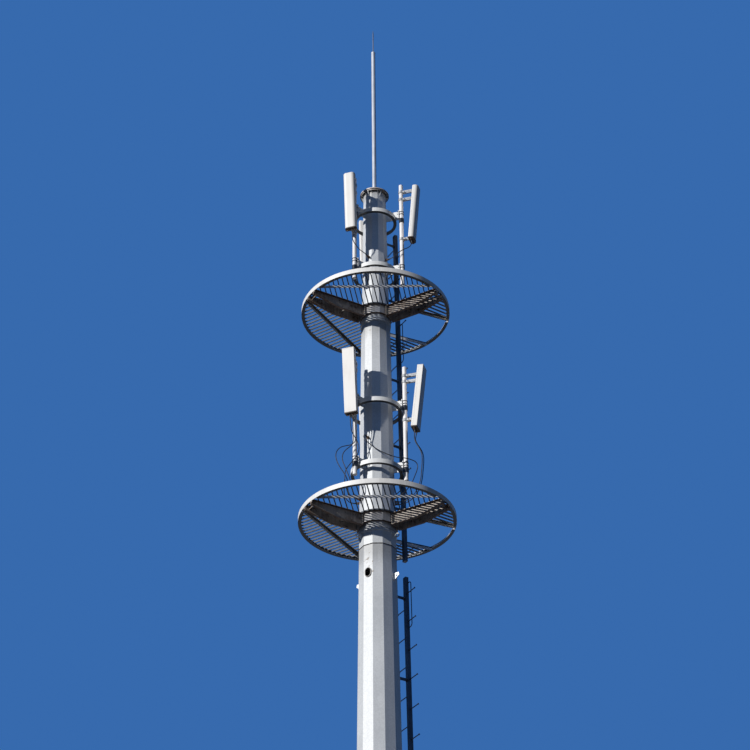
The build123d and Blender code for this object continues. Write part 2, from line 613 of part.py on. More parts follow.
def ladder_section(z_low, z_high):
    """Box spine with pegs alternately on its two sides."""
    length = z_high - z_low
    shape = Pos(SPINE_DEPTH / 2, 0, length / 2) * Box(SPINE_DEPTH, SPINE_WIDTH, length)
    upright = (Align.CENTER, Align.CENTER, Align.MIN)
    peg = Cylinder(PEG_RADIUS, PEG_REACH, align=upright)
    peg += Pos(0, 0, PEG_REACH) * Cylinder(PEG_STOP, PEG_STOP_PLATE, align=upright)
    peg = Pos(SPINE_DEPTH / 2, SPINE_WIDTH / 2, 0) * Rot(-90, 0, 0) * peg
    other = mirror(peg, about=Plane.XZ)
    count = int((length - PEG_MARGIN) / PEG_PITCH)
    pegs = [Pos(0, 0, PEG_FIRST + i * PEG_PITCH) * (peg if i % 2 else other) for i in range(count)]
    return ladder_place(z_low, z_high) * (shape + pegs)


def ladder_stay(z):
    """Flat bar with a foot, from the pole to the spine."""
    run = next(r for r in LADDER_RUNS if r[0] <= z <= r[1])
    spine = Pos(SPINE_DEPTH / 2 - SEAT, 0, (run[1] - run[0]) / 2) * Box(SPINE_DEPTH, SPINE_WIDTH, 2 * FAR)
    spine = ladder_place(*run) * spine
    start = pole_apothem(z) - STAY_SINK
    length = LADDER_STANDOFF + 3 * STAY_SINK
    shape = Pos(start + LADDER_STANDOFF / 2, 0, 0) * Box(length, STAY_PLATE, STAY_WIDTH)
    shape += Pos(start + STAY_FOOT / 2, 0, 0) * Box(STAY_FOOT, STAY_WIDTH, STAY_FOOT_HEIGHT)
    shape = at_bearing(LADDER_ANGLE, 0, z) * shape
    return shape - pole_body(z - 200, z + 200, SEAT) - spine


def side_bar(top):
    """Round bar beside the ladder, bent over at its top and its foot onto the spine."""
    run = next(r for r in LADDER_RUNS if r[0] <= top <= r[1])
    x = SPINE_DEPTH / 2 + PEG_RADIUS + SIDE_BAR_GAP + SIDE_BAR_RADIUS
    edge = SPINE_WIDTH / 2 + SEAT
    high = top - run[0]
    low = high - SIDE_BAR_HEIGHT
    path = FilletPolyline((x, -edge, high), (x, -SIDE_BAR_OFFSET, high), (x, -SIDE_BAR_OFFSET, low),
                          (x, -edge, low), radius=SIDE_BAR_BEND)
    section = Plane(origin=path @ 0, z_dir=path % 0) * Circle(SIDE_BAR_RADIUS)
    return ladder_place(*run) * sweep(section, path=path)


# ---- write every node ----
os.makedirs("parts", exist_ok=True)

save("base_flange", [base_flange()])
save("base_gussets", base_gussets())
breaks = [BASE_PLATE, LOW_JOINT_Z, MID_JOINT_Z, HIGH_JOINT_Z, POLE_TOP_Z]
tops = [z - JOINT_PLATE for z in breaks[1:-1]] + [POLE_TOP_Z - TOP_FLANGE_PLATE]
feet = [BASE_PLATE] + [z + JOINT_PLATE for z in breaks[1:-1]]
for number, (foot, top) in enumerate(zip(feet, tops), start=1):
    port = next((z for z in PORT_HEIGHTS if foot < z < top), None)
    save(f"pole_section_{number}", [pole_section(foot, top, port)])
joints = [joint_plates(z) for z in breaks[1:-1]]
save("joint_lower_plates", [under for under, over in joints])
save("joint_upper_plates", [over for under, over in joints])
save("port_rims", [port_plane(z) * extrude(port_outline(PORT_RIM) - port_outline(0), amount=PORT_RIM_DEPTH)
                   for z in PORT_HEIGHTS])
save("lifting_lugs", lifting_lugs())

top_hole = pole_apothem(POLE_TOP_Z) - JOINT_LAND
save("top_flange", [disc(TOP_FLANGE_RADIUS, POLE_TOP_Z - TOP_FLANGE_PLATE, POLE_TOP_Z, top_hole)])
save("top_gussets", top_gussets())
cap_top = POLE_TOP_Z + CAP_PLATE
save("cap_plate", [disc(CAP_RADIUS, POLE_TOP_Z, cap_top)])
socket_top = cap_top + SOCKET_HEIGHT
save("rod_socket", [disc(SOCKET_PLATE_RADIUS, cap_top, cap_top + SOCKET_PLATE)
                    + disc(SOCKET_RADIUS, cap_top, socket_top)])
rod_top = socket_top + ROD_LENGTH
save("lightning_rod", [disc(ROD_RADIUS, socket_top, rod_top)])
point = Pos(0, 0, rod_top + TIP_LENGTH - TIP_POINT / 2) * Cone(TIP_RADIUS, TIP_END_RADIUS, TIP_POINT)
save("rod_tip", [disc(TIP_RADIUS, rod_top, rod_top + TIP_LENGTH - TIP_POINT) + point])

for name, z in PLATFORM_HEIGHTS.items():
    save(f"{name}_platform_hub", [hub(z)])
    save(f"{name}_platform_arms", [Rot(0, 0, a) * arm(z) for a in ARM_ANGLES])
    ring = disc(RING_RADIUS, z - RING_BELOW, z + RING_ABOVE, RING_RADIUS - RING_PLATE)
    save(f"{name}_platform_ring", [ring])
    save(f"{name}_deck_angles", deck_angles(z))
    save(f"{name}_gratings", gratings(z))

for name, tier in TIERS.items():
    save(f"{name}_tier_hoops", [hoop(z, tier["hoop_radius"]) for z in tier["hoops"]])
    save(f"{name}_tier_pipes", [at_bearing(a, MAST_CIRCLE) * mast_pipe(tier["pipe_foot"])
                                for a in MAST_ANGLES.values()])
    for side in MAST_ANGLES:
        save(f"{name}_panel_{side}", [panel(side, tier)])
    save(f"{name}_panel_brackets", [b for side in MAST_ANGLES for b in panel_brackets(side, tier)])
save("pipe_straps", [at_bearing(a, MAST_CIRCLE) * strap(z - tier["strap_drop"]) for tier in TIERS.values()
                     for z in tier["hoops"] for a in MAST_ANGLES.values()])
save("panel_connectors", [c for tier in TIERS.values() for side in MAST_ANGLES
                          for c in connectors(side, tier)])

save("cable_glands", [gland(key) for key in GLANDS])
for name in CABLES:
    save(f"{name}_cable", [panel_cable(name)])
save("lower_front_cable", [front_cable()])

for number, run in enumerate(LADDER_RUNS, start=1):
    save(f"ladder_section_{number}", [ladder_section(*run)])
save("ladder_stays", [ladder_stay(z) for z in STAY_HEIGHTS])
save("ladder_side_bars", [side_bar(z) for z in SIDE_BAR_TOPS])
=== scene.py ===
from math import cos, pi, radians, sin, tan

import bmesh
import bpy
from mathutils import Matrix, Vector


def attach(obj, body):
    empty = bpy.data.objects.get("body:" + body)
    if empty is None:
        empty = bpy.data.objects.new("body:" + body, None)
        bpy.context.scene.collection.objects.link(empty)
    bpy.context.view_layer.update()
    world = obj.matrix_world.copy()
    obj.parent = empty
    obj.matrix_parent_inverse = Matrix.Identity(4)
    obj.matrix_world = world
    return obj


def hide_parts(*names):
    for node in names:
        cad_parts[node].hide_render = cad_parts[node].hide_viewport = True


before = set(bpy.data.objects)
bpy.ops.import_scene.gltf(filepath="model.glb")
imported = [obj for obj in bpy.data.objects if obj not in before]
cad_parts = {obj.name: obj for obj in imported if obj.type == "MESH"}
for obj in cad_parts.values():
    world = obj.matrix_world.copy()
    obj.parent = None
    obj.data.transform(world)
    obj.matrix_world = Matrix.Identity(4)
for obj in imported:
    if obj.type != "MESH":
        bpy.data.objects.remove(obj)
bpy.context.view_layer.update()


# Base flange: the round plate that carries the whole tower. It is flame cut from
# heavy plate, drilled for the anchor bolts and hot-dip galvanised, and ground
# water has begun to rust it.
class Wire:
    """A socket in a shader tree that takes part in plain arithmetic."""

    def __init__(self, tree, socket=None):
        self.tree = tree
        self.socket = socket

    def node(self, kind, settings={}, inputs={}, output=0):
        """Adds a node: its settings, then its sockets' values or links; gives one output."""
        made = self.tree.nodes.new(kind)
        for name, value in settings.items():
            setattr(made, name, value)
        for key, value in inputs.items():
            if isinstance(value, Wire):
                self.tree.links.new(value.socket, made.inputs[key])
            else:
                made.inputs[key].default_value = value
        return Wire(self.tree, made.outputs[output])

    def math(self, operation, first, second):
        return self.node("ShaderNodeMath", {"operation": operation}, {0: first, 1: second})

    def __add__(self, other):
        return self.math("ADD", self, other)

    def __sub__(self, other):
        return self.math("SUBTRACT", self, other)

    def __rsub__(self, other):
        return self.math("SUBTRACT", other, self)

    def __mul__(self, other):
        return self.math("MULTIPLY", self, other)

    __radd__ = __add__
    __rmul__ = __mul__

    def step(self, low, high):
        """Soft step from 0 at low to 1 at high."""
        return self.node("ShaderNodeMapRange", {"interpolation_type": "SMOOTHSTEP"},
                         {"Value": self, "From Min": low, "From Max": high})

    def mix(self, first, second):
        """Colour between two others, by this factor."""
        return self.node("ShaderNodeMix", {"data_type": "RGBA"}, {0: self, 6: first, 7: second}, 2)

    def along(self, axis):
        """One coordinate of a vector."""
        return self.node("ShaderNodeSeparateXYZ", inputs={0: self}, output=axis)


def shade(code):
    """Linear colour of a written one."""
    parts = [int(code[i:i + 2], 16) / 255 for i in (0, 2, 4)]
    return (*[p / 12.92 if p <= 0.04045 else ((p + 0.055) / 1.055) ** 2.4 for p in parts], 1)


def grain(place, size, stretch=(1, 1, 1), detail=4):
    """Cloudy noise from 0 to 1, with blots of about that size in metres."""
    scaled = place.node("ShaderNodeVectorMath", {"operation": "DIVIDE"},
                        {0: place, 1: tuple(size * s for s in stretch)})
    return place.node("ShaderNodeTexNoise", {},
                      {"Vector": scaled, "Scale": 1, "Detail": detail, "Roughness": 0.6})


def finish(name, vary, fixed, relief=0.002):
    """A material: vary gives what changes over the surface, from the place on it in metres."""
    made = bpy.data.materials.new(name)
    made.use_nodes = True
    shader = made.node_tree.nodes["Principled BSDF"]
    place = Wire(made.node_tree).node("ShaderNodeTexCoord", output="Object")
    for key, wire in vary(place).items():
        if key == "Height":
            key = "Normal"
            wire = place.node("ShaderNodeBump", inputs={"Height": wire, "Distance": relief, "Strength": 0.8})
        made.node_tree.links.new(wire.socket, shader.inputs[key])
    for key, value in fixed.items():
        shader.inputs[key].default_value = value
    return made


def weathered_and_shaded(name, clean, dull, stain, spread, gloss, metal, painted_shade=None, inside=1):
    """Outdoor steel: two tones in clouds and runs, and spots of stain.

    Faces that look down, and by the inside share those that look at the pole, are
    painted in a dark tone that stands in for shade.
    """
    def vary(place):
        cloud = grain(place, 0.35)
        streak = grain(place, 0.04, (1, 1, 16))
        spot = grain(place, 0.07, detail=9)
        fleck = grain(place, 0.006, detail=2)
        tone = (cloud * 0.55 + streak * 0.45).step(0.36, 0.66).mix(shade(clean), shade(dull))
        rust = (spot * 0.75 + cloud * 0.25).step(0.72 - spread, 0.80 - spread * 0.7)
        # Painted shade: downward faces, and pole-facing ones by the inside share, mix to the dark shade tone.
        if painted_shade:
            facing = place.node("ShaderNodeNewGeometry", output="True Normal")
            level = place.node("ShaderNodeVectorMath", {"operation": "MULTIPLY"}, {0: place, 1: (1, 1, 0)})
            ray = place.node("ShaderNodeVectorMath", {"operation": "NORMALIZE"}, {0: level})
            out = place.node("ShaderNodeVectorMath", {"operation": "DOT_PRODUCT"},
                             {0: facing, 1: ray}, "Value")
            inward = 1 - out.step(-0.9, -0.4)
            unshaded = facing.along(2).step(-0.9, -0.2) * (1 - inward * inside)
            tone = (0.03 + unshaded * 0.97).mix(shade(painted_shade), tone)
        return {"Base Color": rust.mix(tone, shade(stain)),
                "Roughness": rust * 0.28 + cloud * 0.16 + gloss,
                "Height": fleck * 0.25 + rust * spot * 0.7}
    return finish(name, vary, {"Metallic": metal})


def dress(node, material):
    """Gives a part of the frame its material."""
    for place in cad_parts[node].material_slots:
        place.material = material


def zinc_skin(place):
    """Galvanised skin: crystal spangle under white and brown weathering."""
    cell = place.node("ShaderNodeTexVoronoi", {}, {"Vector": place, "Scale": 70}, "Color").along(0)
    cloud = grain(place, 0.25)
    spot = grain(place, 0.05, detail=8)
    low = 1 - place.along(2).step(0.02, 0.5)
    rust = (spot * 0.7 + low * 0.22).step(0.53, 0.66)
    tone = (cloud * 0.6 + cell * 0.4).step(0.2, 0.8).mix(shade("A9ACAE"), shade("C3C6C9"))
    return {"Base Color": (rust * 0.8).mix(tone, shade("7A5A3E")),
            "Roughness": cell * 0.14 + rust * 0.3 + 0.42,
            "Height": cell * 0.12 + spot * 0.5}


galvanised = finish("galvanised", zinc_skin, {"Metallic": 0.35})
dress("base_flange", galvanised)


# Base gussets: twelve tapered plates, one on the middle of each flat, that carry
# the load out of the pole into the flange. Each is fillet welded down both sides.
joints = (10.0, 20.21, 25.22)
JOINT_PLATE = 0.05


def flat(z):
    """Distance from the pole's axis to its flats."""
    return 0.590 - 0.01166 * z if z < joints[-1] else 0.285 - 0.0139 * (z - joints[-1])


def around(angle, radius=0, z=0):
    """Frame at a bearing round the pole: X points out and Z up."""
    return Matrix.Rotation(radians(angle), 4, "Z") @ Matrix.Translation((radius, 0, z))


def bead(mesh, points, radius, closed=False, ripple=0.14, sides=6):
    """Adds a weld bead, or a plain rod if it has no ripple, along points."""
    rings = []
    last = len(points) - 1
    for k, point in enumerate(points):
        behind = points[k - 1] if k or closed else point
        ahead = points[(k + 1) % (last + 1)] if k < last or closed else point
        along = (ahead - behind).normalized()
        side = along.cross(Vector((0, 0, 1)) if abs(along.z) < 0.9 else Vector((1, 0, 0))).normalized()
        over = side.cross(along)
        size = radius * (1 + ripple * sin(2.3 * k))
        turns = [2 * pi * j / sides for j in range(sides)]
        rings.append([mesh.verts.new(point + size * (cos(t) * side + sin(t) * over)) for t in turns])
    pairs = list(zip(rings, rings[1:])) + ([(rings[-1], rings[0])] if closed else [])
    for low, high in pairs:
        for j in range(sides):
            mesh.faces.new((low[j - 1], low[j], high[j], high[j - 1]))
    if not closed:
        mesh.faces.new(rings[0])
        mesh.faces.new(rings[-1])


def run(first, second, count=12):
    """Evenly spaced points from one place to another."""
    return [Vector(first).lerp(Vector(second), k / (count - 1)) for k in range(count)]


def piece(name, mesh, material, sharp=35):
    """Makes a finished mesh a piece of the tower."""
    bmesh.ops.recalc_face_normals(mesh, faces=mesh.faces)
    data = bpy.data.meshes.new(name)
    mesh.to_mesh(data)
    mesh.free()
    data.materials.append(material)
    data.shade_smooth()
    data.set_sharp_from_angle(angle=radians(sharp))
    made = bpy.data.objects.new(name, data)
    bpy.context.scene.collection.objects.link(made)
    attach(made, "root")
    return made


dress("base_gussets", galvanised)
welds = bmesh.new()
for angle in range(0, 360, 30):
    for side in (-0.010, 0.010):
        foot = [around(angle) @ Vector((flat(0) + reach, side, 0.047)) for reach in (0.004, 0.163)]
        bead(welds, run(*foot), 0.005)
        edge = [around(angle) @ Vector((flat(z) + 0.002, side, z)) for z in (0.05, 0.30)]
        bead(welds, run(*edge), 0.005)
piece("base_gusset_welds", welds, galvanised, 60)


# Anchor bolts: 24 threaded rods cast into the foundation, each with a washer, a
# heavy nut and a lock nut on top of the flange.
def turned(mesh, place, profile, sides=16):
    """Adds a turned solid on the place's Z axis, from rings of (radius, height)."""
    turns = [2 * pi * (k + 0.5) / sides for k in range(sides)]
    rings = [[mesh.verts.new(place @ Vector((radius * cos(t), radius * sin(t), height))) for t in turns]
             for radius, height in profile]
    for low, high in zip(rings, rings[1:]):
        for k in range(sides):
            mesh.faces.new((low[k - 1], low[k], high[k], high[k - 1]))
    mesh.faces.new(rings[0])
    mesh.faces.new(rings[-1])


def fixing(mesh, place, thread, stud=0.45, nuts=1):
    """Adds a washer, chamfered hexagon nuts and the bolt's end, standing on the place."""
    washer = [(1.05 * thread, 0), (1.05 * thread, 0.10 * thread), (0.98 * thread, 0.14 * thread)]
    turned(mesh, place, washer, 14)
    height = 0.14 * thread
    for _ in range(nuts):
        top = height + 0.8 * thread
        turned(mesh, place, [(0.80 * thread, height), (0.866 * thread, height + 0.08 * thread),
                             (0.866 * thread, top - 0.08 * thread), (0.78 * thread, top)], 6)
        height = top
    turned(mesh, place, [(0.5 * thread, height - 0.02 * thread), (0.5 * thread, height + stud * thread),
                         (0.42 * thread, height + (stud + 0.08) * thread)], 12)


anchors = bmesh.new()
for k in range(24):
    fixing(anchors, around(7.5 + 15 * k, 0.71, 0.045), 0.036, 0.7, 2)
bolt_zinc = weathered_and_shaded("bolt_zinc", "8F9294", "6F7071", "5C4433", 0.12, 0.38, 0.55)
piece("anchor_bolts", anchors, bolt_zinc)


# Pole sections: four tapered tubes of twelve flats, folded from plate and welded
# down their length, then zinc sprayed and painted pale grey. Rain has run dirt
# down them from every joint, and handling has left blots of brown.
def pole_skin(place):
    z = place.along(2)
    cloud = grain(place, 0.6)
    run_down = grain(place, 0.06, (1, 1, 26), 5)
    blot = grain(place, 0.11, detail=7)
    fleck = grain(place, 0.008, detail=3)
    cell = place.node("ShaderNodeTexVoronoi", {}, {"Vector": place, "Scale": 45}, "Color").along(1)
    under = 0
    for joint, reach in ((9.95, 0.9), (19.85, 0.7), (25.17, 0.8), (28.66, 0.5), (20.35, 0.3)):
        under = under + z.step(joint - reach, joint) * (1 - z.step(joint, joint + 0.02))
    streak = (under * 0.55 + run_down * 0.75).step(0.52, 0.98)
    squat = place.node("ShaderNodeVectorMath", {"operation": "MULTIPLY"}, {0: place, 1: (1, 1, 0.5)})
    port = (-0.18, -0.32, 9.66)
    apart = squat.node("ShaderNodeVectorMath", {"operation": "DISTANCE"}, {0: squat, 1: port}, "Value")
    brown = (blot + under * 0.10 + (1 - apart.step(0.04, 0.26)) * 0.15).step(0.70, 0.80)
    tone = (cloud * 0.5 + run_down * 0.3 + cell * 0.2).step(0.32, 0.68).mix(shade("CED0D1"), shade("DDDFE0"))
    tone = (streak * 0.5).mix(tone, shade("8D8C8A"))
    return {"Base Color": (brown * 0.55).mix(tone, shade("8B7458")),
            "Roughness": cloud * 0.12 + brown * 0.2 + 0.56,
            "Height": fleck * 0.2 + cloud * 0.3}


pole_paint = finish("pole_paint", pole_skin, {"Metallic": 0.22})
for number in (1, 2, 3, 4):
    dress(f"pole_section_{number}", pole_paint)


def twelve(apothem, z, steps=6):
    """Points round the pole's twelve flats at a height."""
    corners = [around(15 + 30 * k) @ Vector((apothem / cos(pi / 12), 0, z)) for k in range(12)]
    sides = zip(corners, corners[1:] + corners[:1])
    return [a.lerp(b, step / steps) for a, b in sides for step in range(steps)]


welds = bmesh.new()
for z in (0.047, 9.948, 10.052, 20.158, 20.262, 25.168, 25.272, 28.663):
    bead(welds, twelve(flat(z) + 0.002, z), 0.006, closed=True)
for corner in (-15, 165):
    for low, high in ((0.05, 9.94), (10.06, 20.15), (20.27, 25.16), (25.28, 28.65)):
        edge = [around(corner) @ Vector((flat(z) / cos(pi / 12), 0, z)) for z in (low, high)]
        bead(welds, run(*edge, 60), 0.004)
piece("pole_welds", welds, pole_paint, 60)

seam = bmesh.new()
bead(seam, twelve(flat(19.86) + 0.001, 19.86), 0.010, closed=True)
seam_tar = weathered_and_shaded("seam_tar", "2B2724", "453D37", "5A4331", 0.10, 0.6, 0)
piece("pole_seam", seam, seam_tar, 60)


# Joint plates: the mating rings between pole sections, welded in the ends of each
# and bolted from inside. They stand just proud of the flats, painted with the pole,
# and a line of dark sealant closes the joint.
for node in ("joint_lower_plates", "joint_upper_plates"):
    dress(node, pole_paint)
seals = bmesh.new()
for z in joints:
    rim = flat(z - JOINT_PLATE) + 0.0195
    bead(seals, [around(4 * k) @ Vector((rim, 0, z)) for k in range(90)], 0.004, closed=True)
piece("joint_seals", seals, seam_tar, 60)


# Port rims and lifting lugs: a rounded collar welded in each cable opening, two
# bored lifting plates and three eyes under the lower arms, all zinc bright.
port_zinc = weathered_and_shaded("port_zinc", "8B8884", "64605B", "4D3A2C", 0.16, 0.50, 0.2)
dress("port_rims", port_zinc)
lug_zinc = weathered_and_shaded("lug_zinc", "E6E8EA", "CDD0D2", "8A7A68", 0.03, 0.42, 0.2)
dress("lifting_lugs", lug_zinc)
welds = bmesh.new()
lugs = ((-33, 19.2, 0.17), (147, 19.2, 0.17), (-30, 20.11, 0.08), (90, 20.11, 0.08), (210, 20.11, 0.08))
for angle, z, height in lugs:
    for side in (-0.008, 0.008):
        edge = [around(angle) @ Vector((flat(z) + 0.003, side, z + rise))
                for rise in (-height / 2, height / 2)]
        bead(welds, run(*edge, 8), 0.004)
piece("lug_welds", welds, lug_zinc, 60)


# Platform hubs: twelve-sided collars that clamp the arms to the pole, each with a
# round plate on top. Rust spots them, and their faces that look down or at the
# pole are painted dark brown as shade.
# Platform steel: faces that look down or at the pole are painted dark brown as shade.
platform_steel = weathered_and_shaded("platform_steel", "CDC2B7", "87766A", "52392A", 0.20, 0.52, 0.1, "5A4334")
platforms = {"lower": 20.54, "upper": 25.54}
# Hub steel: faces that look down or at the pole are painted dark brown as shade.
hub_steel = weathered_and_shaded("hub_steel", "EDEAE8", "C4BDB8", "6A5444", 0.08, 0.48, 0.15, "5B4535")
welds = bmesh.new()
bolts = bmesh.new()
for name, z in platforms.items():
    dress(f"{name}_platform_hub", hub_steel)
    bead(welds, twelve(flat(z) + 0.003, z + 0.021), 0.005, closed=True)
    bead(welds, twelve(flat(z) + 0.051, z - 0.002), 0.004, closed=True)
    for k in range(12):
        fixing(bolts, around(15 + 30 * k, flat(z) + 0.067, z + 0.020), 0.016, 0.3)
        fixing(bolts, around(15 + 30 * k, flat(z) + 0.069, z) @ Matrix.Rotation(pi, 4, "X"), 0.016, 0.3)
piece("hub_welds", welds, hub_steel, 60)
piece("hub_bolts", bolts, bolt_zinc)


# Platform arms: three to a platform, each a pair of haunched channels with a
# bolted end plate, tie plates between them and cleats out to the ring. Rust
# spots them, and their undersides and faces that look at the pole are painted
# dark brown as shade.
def strip(mesh, place, outline, low, high):
    """Adds a bar of that outline in the place's XY plane, between two heights."""
    rings = [[mesh.verts.new(place @ Vector((x, y, z))) for x, y in outline] for z in (low, high)]
    for k in range(len(outline)):
        mesh.faces.new((rings[0][k - 1], rings[0][k], rings[1][k], rings[1][k - 1]))
    mesh.faces.new(rings[0])
    mesh.faces.new(rings[1])


arm_bearings = (-30, 90, 210)
outward = Matrix.Rotation(pi / 2, 4, "Y")
cleats = bmesh.new()
bolts = bmesh.new()
for name, z in platforms.items():
    dress(f"{name}_platform_arms", platform_steel)
    for angle in arm_bearings:
        for side in (-1, 1):
            for drop in (0.045, 0.10, 0.155, 0.21):
                spot = around(angle, flat(z) + 0.062, z - drop) @ Matrix.Translation((0, side * 0.131, 0))
                fixing(bolts, spot @ outward, 0.018)
            cleat = [(1.5405, side * 0.109), (1.5405, side * 0.165), (1.5345, side * 0.165),
                     (1.5345, side * 0.116), (1.478, side * 0.116), (1.478, side * 0.109)]
            strip(cleats, around(angle, 0, z), cleat, -0.082, -0.012)
            web = around(angle, 1.500, z - 0.046) @ Matrix.Translation((0, side * 0.116, 0))
            fixing(bolts, web @ Matrix.Rotation(-side * pi / 2, 4, "X"), 0.014)
            rim = around(angle, 1.5345, z - 0.046) @ Matrix.Translation((0, side * 0.145, 0))
            fixing(bolts, rim @ Matrix.Rotation(-pi / 2, 4, "Y"), 0.014)
piece("arm_cleats", cleats, platform_steel)
piece("arm_bolts", bolts, bolt_zinc)


# Platform rings: flat bar rolled on edge to a three metre circle with a lip inside
# its lower edge, joined with splice plates half way between the arms. The zinc is
# near white with spots of rust; faces that look down are painted near black as
# shade, and those that look at the pole are a little darker.
# Ring zinc: faces that look down are painted near black as shade.
ring_zinc = weathered_and_shaded("ring_zinc", "FCFBFA", "E8E6E4", "75604F", 0.05, 0.45, 0.02, "17120F", 0.1)
RING_INSIDE = 1.5415
PLATE_INSIDE = 1.5345
splices = bmesh.new()
kerbs = bmesh.new()
bolts = bmesh.new()
for name, z in platforms.items():
    dress(f"{name}_platform_ring", ring_zinc)
    for angle in (30, 150, 270):
        outer = [around(angle + turn) @ Vector((RING_INSIDE, 0, 0)) for turn in (-4, -2, 0, 2, 4)]
        inner = [around(angle + turn) @ Vector((PLATE_INSIDE, 0, 0)) for turn in (4, 2, 0, -2, -4)]
        strip(splices, Matrix.Translation((0, 0, z)), [p.xy for p in outer + inner], -0.040, 0.044)
        for turn in (-3, -1, 1, 3):
            for rise in (-0.022, 0.026):
                head = around(angle + turn, PLATE_INSIDE, z + rise) @ Matrix.Rotation(-pi / 2, 4, "Y")
                fixing(bolts, head, 0.010)
    for first, last in ((-23.5, 6.0), (9.5, 43.5), (46.9, 83.5), (102.4, 197.6), (222.3, 317.7)):
        turns = [first + (last - first) * k / 24 for k in range(25)]
        outer = [around(turn) @ Vector((RING_INSIDE, 0, 0)) for turn in turns]
        inner = [around(turn) @ Vector((1.482, 0, 0)) for turn in turns[::-1]]
        strip(kerbs, Matrix.Translation((0, 0, z)), [p.xy for p in outer + inner], -0.0475, -0.0425)
piece("ring_splices", splices, ring_zinc)
piece("ring_lips", kerbs, ring_zinc)
piece("ring_bolts", bolts, bolt_zinc)


# Deck angles: rolled steel angles across the ring that hold up the gratings and
# edge the hatch for the ladder.
# Deck steel: pale zinc; faces that look down are painted near black as shade.
deck_steel = weathered_and_shaded("deck_steel", "EEECEB", "C6C1BD", "5A4636", 0.12, 0.50, 0.15, "14110F", 0)
for name in ("lower", "upper"):
    dress(f"{name}_deck_angles", deck_steel)


# Gratings: panels of flat bars in a welded frame, laid on the arms and angles and
# held down by saddle clips over the arms.
# Grating steel: its dark tones are painted shade, and faces that look down are painted darker still as shade.
grating_steel = weathered_and_shaded("grating_steel", "4E535A", "34383E", "3D3028", 0.14, 0.50, 0.2, "1B1E22", 0)
clips = bmesh.new()
for name, z in platforms.items():
    dress(f"{name}_gratings", grating_steel)
    for angle in arm_bearings:
        for radius in (0.72, 0.87, 1.02, 1.17, 1.32, 1.47):
            saddle = [(-0.018, -0.034), (0.018, -0.034), (0.018, 0.034), (-0.018, 0.034)]
            strip(clips, around(angle, radius, z + 0.0302), saddle, 0, 0.004)
            fixing(clips, around(angle, radius, z + 0.0342), 0.010, 0.3)
piece("grating_clips", clips, bolt_zinc)


# Tier hoops: bar rolled round the pole on upright bracket plates, with a lip inside
# its lower edge and a saddle for each pipe. The pipes are also held by U bolts.
# Hoop zinc: faces that look down or at the pole, the lips' included, are painted near black as shade.
hoop_zinc = weathered_and_shaded("hoop_zinc", "FDFEFE", "EDEEEF", "7A6553", 0.04, 0.42, 0.02, "1E1A17")
MAST_CIRCLE = 0.6
mast_bearings = {"right": -16, "back": 104, "left": 224}
tiers = {"lower": (21.62, 23.08), "upper": (26.53, 27.975)}
hoop_radii = {"lower": 0.515, "upper": 0.465}
grips = bmesh.new()
lips = bmesh.new()
for name, heights in tiers.items():
    dress(f"{name}_tier_hoops", hoop_zinc)
    for z in heights:
        profile = [(0, -0.047), (0, -0.041), (-0.060, -0.041), (-0.060, -0.047)]
        rings = [[lips.verts.new(around(3 * k, hoop_radii[name] - 0.0005) @ Vector((x, 0, z + rise)))
                  for x, rise in profile] for k in range(120)]
        for k in range(120):
            for j in range(4):
                lips.faces.new((rings[k - 1][j - 1], rings[k - 1][j], rings[k][j], rings[k][j - 1]))
        for angle in mast_bearings.values():
            for rise in (0.075, 0.14):
                pipe = around(angle, MAST_CIRCLE, z + rise)
                turns = [pi / 2 - pi * k / 12 for k in range(13)]
                bend = [Vector((0.051 * cos(t), 0.051 * sin(t), 0)) for t in turns]
                legs = [Vector((-0.076, 0.051, 0))] + bend + [Vector((-0.076, -0.051, 0))]
                bead(grips, [pipe @ p for p in legs], 0.006, ripple=0, sides=8)
                for side in (-0.051, 0.051):
                    inner = pipe @ Matrix.Translation((-0.0570, side, 0)) @ Matrix.Rotation(-pi / 2, 4, "Y")
                    fixing(grips, inner, 0.012, 0.1)
strap_steel = weathered_and_shaded("strap_steel", "33373D", "23262B", "3C2D23", 0.10, 0.40, 0.4)
piece("hoop_lips", lips, hoop_zinc)
piece("pipe_u_bolts", grips, strap_steel)
dress("pipe_straps", strap_steel)


# Tier pipes: galvanised tubes painted white, one for each panel, with a rolled
# collar at the foot.
pipe_paint = weathered_and_shaded("pipe_paint", "FEFCFD", "EFECED", "94836F", 0.04, 0.42, 0.02)
collars = bmesh.new()
collar = [(0.036, -0.003), (0.0460, -0.003), (0.0475, 0.002), (0.0475, 0.030), (0.0450, 0.034)]
for name, foot in (("lower", 21.36), ("upper", 26.17)):
    dress(f"{name}_tier_pipes", pipe_paint)
    for angle in mast_bearings.values():
        turned(collars, around(angle, MAST_CIRCLE, foot), collar, 28)
piece("pipe_foot_collars", collars, pipe_paint)


# Panels: antennas in glass fibre radomes, pale and warm with age. The upper tier's
# have round edges and the lower tier's square ones. Each end has a moulded cap,
# and a bead of sealant closes the radome on its back plate.
def radome_skin(place):
    cloud = grain(place, 0.5)
    run_down = grain(place, 0.05, (1, 1, 10))
    fibre = grain(place, 0.004, (1, 1, 6), 2)
    dirt = (cloud * 0.5 + run_down * 0.5).step(0.42, 0.75)
    return {"Base Color": (dirt * 0.5).mix(shade("F9F7F5"), shade("E6E0D9")),
            "Roughness": cloud * 0.15 + 0.38,
            "Height": fibre * 0.15 + cloud * 0.3}


def cap_skin(place):
    cloud = grain(place, 0.12)
    pit = grain(place, 0.005, detail=2)
    return {"Base Color": cloud.step(0.35, 0.7).mix(shade("6B5A4C"), shade("3F342B")),
            "Roughness": cloud * 0.2 + 0.45,
            "Height": pit}


